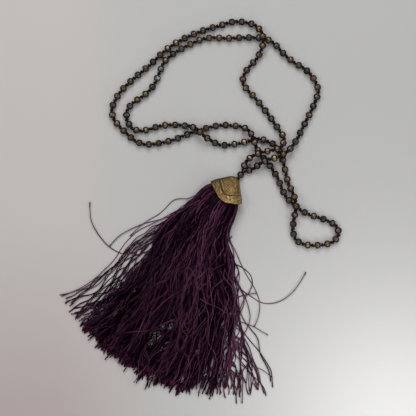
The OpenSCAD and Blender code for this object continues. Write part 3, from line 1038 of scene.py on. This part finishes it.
def plan_thread(start, end, level, span, tone, unrest=1.0, tuft=None, waves=OWN_WAVES):
    """Adds one thread to the plan; a tuft is the two phases that its threads' waves share."""
    phases = chance.uniform(0, 2 * math.pi, 2) if tuft is None else tuft
    plan.append((start, end, level, span, phases, unrest, waves, tone))


for k in range(TUFTS):
    home = read_table(TUFT_PLACES, (k + chance.uniform()) / TUFTS)
    drift = chance.normal(0, 0.016)
    span = read_table(SPANS, home) + chance.normal(-0.002, 0.02)
    level = chance.uniform(0, 0.85)
    tuft = chance.uniform(0, 2 * math.pi, 2)
    for _ in range(THREADS_IN_TUFT):
        # A tuft's tone falls with its level: painted shade deep in the bundle.
        plan_thread(np.clip(home + chance.normal(0, 0.012), 0.04, 0.96),
                    np.clip(home + drift + chance.normal(0, 0.005), *BODY),
                    np.clip(level + chance.normal(0, 0.07), 0, 0.9), span + chance.normal(0, 0.01),
                    0.07 * level ** 1.5 + abs(chance.normal(0, 0.012)), 1.0, tuft)
print(f"{len(plan)} threads in tufts")

# %% [markdown]
# The tufts make the dark ground, and single threads with stronger waves lie on top of it.
# They are paler, which is painted light on the top of the bundle, and glossier, and one can
# follow each by eye. The fan gets thinner towards both sides, where the threads lie on the
# table, singly on the left and in pairs on the right.

# %% Plan the single threads
ON_TOP = 110
LOOSE_LEFT = 54
LOOSE_RIGHT = 40
RESTLESS = 44

# On top of the tufts, with pale tones: painted light on the top of the bundle.
for k in range(ON_TOP):
    start = read_table(TUFT_PLACES, (k + chance.uniform()) / ON_TOP)
    end = np.clip(start + chance.normal(0, 0.05), *BODY)
    plan_thread(start, end, chance.uniform(0.84, 1.0),
                read_table(SPANS, start) + chance.normal(0, 0.026),
                0.72 * chance.beta(0.9, 1.1), 1.9)
# The loose band on the left, most of it near the outer edge.
for k in range(LOOSE_LEFT):
    end = 0.115 * ((k + chance.uniform()) / LOOSE_LEFT) ** 0.6
    plan_thread(end * 0.8 + chance.uniform(0, 0.05), end, chance.uniform(0, 0.6),
                read_table(SPANS, end) + min(chance.normal(0, 0.014), 0.02),
                0.12 + 0.8 * chance.beta(1.5, 2.2), 0.5 + 0.75 * min(end / 0.02, 1),
                waves=NET_WAVES)
# Pairs on the right.
for k in range(LOOSE_RIGHT):
    if k % 2 == 0:
        home = 0.93 + 0.069 * ((k + chance.uniform()) / LOOSE_RIGHT) ** 0.75
        start = chance.uniform(0.84, 0.97)
        tuft = chance.uniform(0, 2 * math.pi, 2)
    end = home + chance.normal(0, 0.01)
    plan_thread(start + chance.normal(0, 0.01), end, chance.uniform(0, 0.6),
                read_table(SPANS, end) + chance.normal(0, 0.022),
                chance.uniform(0.25, 0.95), 1.7, tuft)
# Restless ones that wander across the fan on top, with pale tones: painted light on the top of the
# bundle.
for k in range(RESTLESS):
    start = chance.uniform(0.08, 0.92)
    plan_thread(start, np.clip(start + chance.normal(0, 0.16), *BODY), chance.uniform(0.92, 1.0),
                read_table(SPANS, start) - abs(chance.normal(0, 0.05)),
                0.7 * chance.beta(2.4, 1.6), 2.8)
print(f"{len(plan)} threads planned")

# %% [markdown]
# A few threads strayed far: two long ones at the left, a long one at the right, and some
# loops that hang out of the right side. Their routes were chosen on the photograph,
# from the fan outwards to the tip. They are rounded and brought to the same number of
# points as the others, and they lie on the table once they are out of the bundle.

# %% Stray threads
STRAYS_PX = (
    ((200, 200), (182, 210), (165, 222), (152, 238), (140, 250), (128, 255), (119, 253), (109, 247),
     (101, 238), (95, 229), (91, 221), (90, 212), (90, 202)),
    ((208, 198), (190, 208), (175, 214), (162, 219), (150, 222), (142, 224), (131, 229), (120, 235),
     (114, 241), (109, 247)),
    ((206, 190), (196, 195), (188, 199), (181, 198.5), (175, 199), (170, 203), (165, 209),
     (158, 215), (150, 219), (140, 226), (130, 236)),
    ((204, 200), (186, 206), (172, 213), (160, 220), (147, 226), (137, 231), (124, 244), (114, 261),
     (106, 268), (96, 278), (83, 287), (70, 293), (60, 295)),
    ((200, 205), (180, 214), (160, 223), (144, 236), (130, 250), (120, 262), (108, 271), (95, 282),
     (82, 289), (72, 292), (62, 296)),
    ((222, 250), (226, 262), (231, 275), (237, 285), (244, 292), (252, 297), (261, 303), (272, 304),
     (283, 300), (293, 292), (300, 282), (306, 272)),
    ((206, 275), (216, 267), (226, 263), (236, 264), (245, 269), (251, 275), (253, 283), (250, 291),
     (244, 299), (240, 308), (238, 320)),
    ((228, 232), (231, 243), (236, 252), (241, 264), (247, 276), (254, 287), (259, 298), (260, 308),
     (258, 318), (254, 327)),
    ((200, 298), (208, 303), (214, 305), (220, 308), (230, 315), (237, 320), (246, 324),
     (254, 326.5), (261, 331), (268, 335)),
    ((228, 290), (235, 299), (241, 296), (248, 294), (257, 293)),
    ((229, 330), (236, 348), (245, 361), (254, 366), (263, 370), (272, 377)),
    ((160, 352), (153, 360), (146, 366), (141, 373), (134, 382)),
    ((238, 340), (240, 362), (243, 382), (242, 403)),
    ((232, 350), (240, 360), (250, 372), (257, 383), (259, 390), (256, 388), (254, 383)),
    ((176, 258), (185, 262), (192, 270), (197, 280), (198, 289), (205, 290), (213, 287),
     (222, 280)),
    ((176, 318), (168, 321), (160, 325), (152, 329), (145, 330.5), (135, 331), (124, 332)),
    ((150, 300), (147, 312), (143, 322), (138, 334), (133, 342), (128, 350)),
    ((232, 236), (214, 262), (198, 278), (180, 290), (165, 300), (152, 314)),
)


def stray_thread(route_px):
    """Points of a stray thread, from its route on the photograph."""
    route = np.array([on_table(px) for px in route_px])
    length = np.concatenate([[0], np.cumsum(np.linalg.norm(np.diff(route, axis=0), axis=1))])
    at = np.linspace(0, length[-1], 4 * THREAD_POINTS)
    dense = [np.interp(at, length, route[:, k]) for k in (0, 1)]
    soft = np.column_stack([
        running_mean(row, 10, mode="reflect", reflect_type="odd") for row in dense])
    soft = soft[np.linspace(0, len(soft) - 1, THREAD_POINTS).astype(int)]
    off_axis = soft - joint[:2]
    share = np.clip((np.linalg.norm(off_axis, axis=1) - CAP_MOUTH) / TASSEL_L, 0, 1)
    angle = np.degrees(np.arctan2(off_axis @ aside[:2], off_axis @ hang[:2]))
    edges = edges_at(share)
    inside = smooth_ramp(angle - edges[1], -1, 3) * smooth_ramp(edges[2] - angle, -1, 3)
    ripple = 0.8 * MM * (1 + np.sin(np.linspace(0, 9, THREAD_POINTS))) / 2
    z = THREAD_R + ripple + inside * read_table(THICKNESS, share) * MM * 0.85
    return np.column_stack([soft, z])


# %% [markdown]
# Now the finish. Rayon is deep plum with a silky light along the thread. Threads differ a
# little, and every cut tip is redder, because its fibres open. Two attributes carry that, a
# tone and a share of the cut tip, so that one finish serves all the threads. A thread with a
# higher tone is paler and also glossier. The tone also carries painted light and shade: pale
# on top of the bundle and where a thread turns to the light, dark deep in it and towards the tips.

# %% Rayon finish
rayon, tree, shader = new_finish("plum_rayon_thread")
tone = attribute(tree, "tone")
# The tone, with its painted light and shade, picks the colour from nearly black to pale plum.
deep = blend_colors(tree, tone, (0.0008, 0.0006, 0.0013, 1), (0.158, 0.044, 0.103, 1))
streak = stretch(tree, grain(tree, 700.0, 2.0), 0.35, 0.65, 0.7, 1.2)
streaked = blend_colors(tree, 1.0, deep, streak, "MULTIPLY")
cut_tip = blend_colors(tree, attribute(tree, "tip"), streaked, (0.11, 0.024, 0.064, 1))
fill(tree, shader, {
    "Base Color": cut_tip, "Roughness": 0.42, "Specular Tint": (1.0, 0.66, 0.95, 1),
    "Specular IOR Level": stretch(tree, tone, 0.02, 0.56, 0.0, 0.28)})
raise_bumps(tree, shader, twisted_plies(tree, 1.0, 60.0), 0.05 * MM, 0.5)

# %% [markdown]
# All threads could be one mesh, but four lighter pieces and one for the strays are easier to
# handle. The attributes are set ring by ring, as the curve's mesh keeps the order of its
# paths and points. Along each thread the tone has painted highlights where it turns its flat
# side to the light and painted shade where it turns away, and painted shade towards the tip.
# Over the fan, the photograph is darkest along the lower left of the body.

# %% Lay the threads
PIECES = 4
TIP_SHARE = 0.006
TIP_SWELL = 0.38
BODY_ANGLES = (-12, 29)
# Tone over the places across the fan, and along a thread from the cap to its tip; along the
# thread it is painted shade inside the cap and towards the tip, and painted light where the bundle
# is highest.
TONE_ACROSS = ((0.0, 0.95), (0.08, 0.85), (0.13, 0.52), (0.25, 0.72), (0.55, 0.95), (0.75, 1.2),
               (0.9, 1.7), (1.0, 1.2))
TONE_ALONG = ((0.0, 0.7), (0.05, 1.3), (0.13, 1.45), (0.35, 1.1), (0.5, 1.0), (0.8, 0.8),
              (1.0, 0.7))


def lay_threads(name, paths, tones, places, radius):
    """A piece of many threads with their tones and tips, from their places in the fan."""
    t = np.linspace(0, 1, THREAD_POINTS)
    swell = 1 + TIP_SWELL * smooth_ramp(t, 0.97, 0.985)
    mesh = thread_mesh(name, paths, [radius * swell * chance.uniform(0.85, 1.12) for _ in paths])
    turning = chance.uniform(1.2, 3.2, (len(paths), 1)) * t + chance.uniform(0, 1, (len(paths), 1))
    # Painted highlights and shade as a thread turns to the light and away from it, and painted
    # shade on the upper part of some, which come out of the dark only lower down.
    light = 0.8 + 0.5 * np.sin(2 * np.pi * turning)
    light *= 1 + np.outer(read_table(TONE_ACROSS, places) - 1, smooth_ramp(t, 0.15, 0.5))
    rise = chance.uniform(-0.36, 0.42, (len(paths), 1))
    light *= 0.2 + 0.8 * smooth_ramp(t, rise, rise + 0.12)
    tones = np.clip(np.outer(tones, read_table(TONE_ALONG, t)) * light, 0, 1)
    tips = np.tile(smooth_ramp(t, 1 - 2 * TIP_SHARE, 1 - TIP_SHARE), len(paths))
    for label, values in (("tone", tones.ravel()), ("tip", tips)):
        layer = mesh.attributes.new(label, "FLOAT", "POINT")
        layer.data.foreach_set("value", np.repeat(values, THREAD_SIDES).astype(np.float32))
    return keep_piece(name, mesh, rayon, "tassel_thread", "tassel")


paths = [fan_thread(*row[:-1]) for row in plan]
tones = np.array([row[-1] for row in plan])
places = np.array([row[1] for row in plan])
for k in range(PIECES):
    some = slice(k, None, PIECES)
    lay_threads(f"tassel_threads_{k + 1}", paths[some], tones[some], places[some], THREAD_R)
# Strays whose tips lie on the body are darker than those on the bare table.
tip_angles = np.array([math.degrees(polar(route_px[-1])[1]) for route_px in STRAYS_PX])
on_body = (tip_angles > BODY_ANGLES[0]) & (tip_angles < BODY_ANGLES[1])
lay_threads("stray_threads", [stray_thread(route_px) for route_px in STRAYS_PX],
            np.where(on_body, 0.7, 1.3), np.ones(len(STRAYS_PX)), STRAY_R)
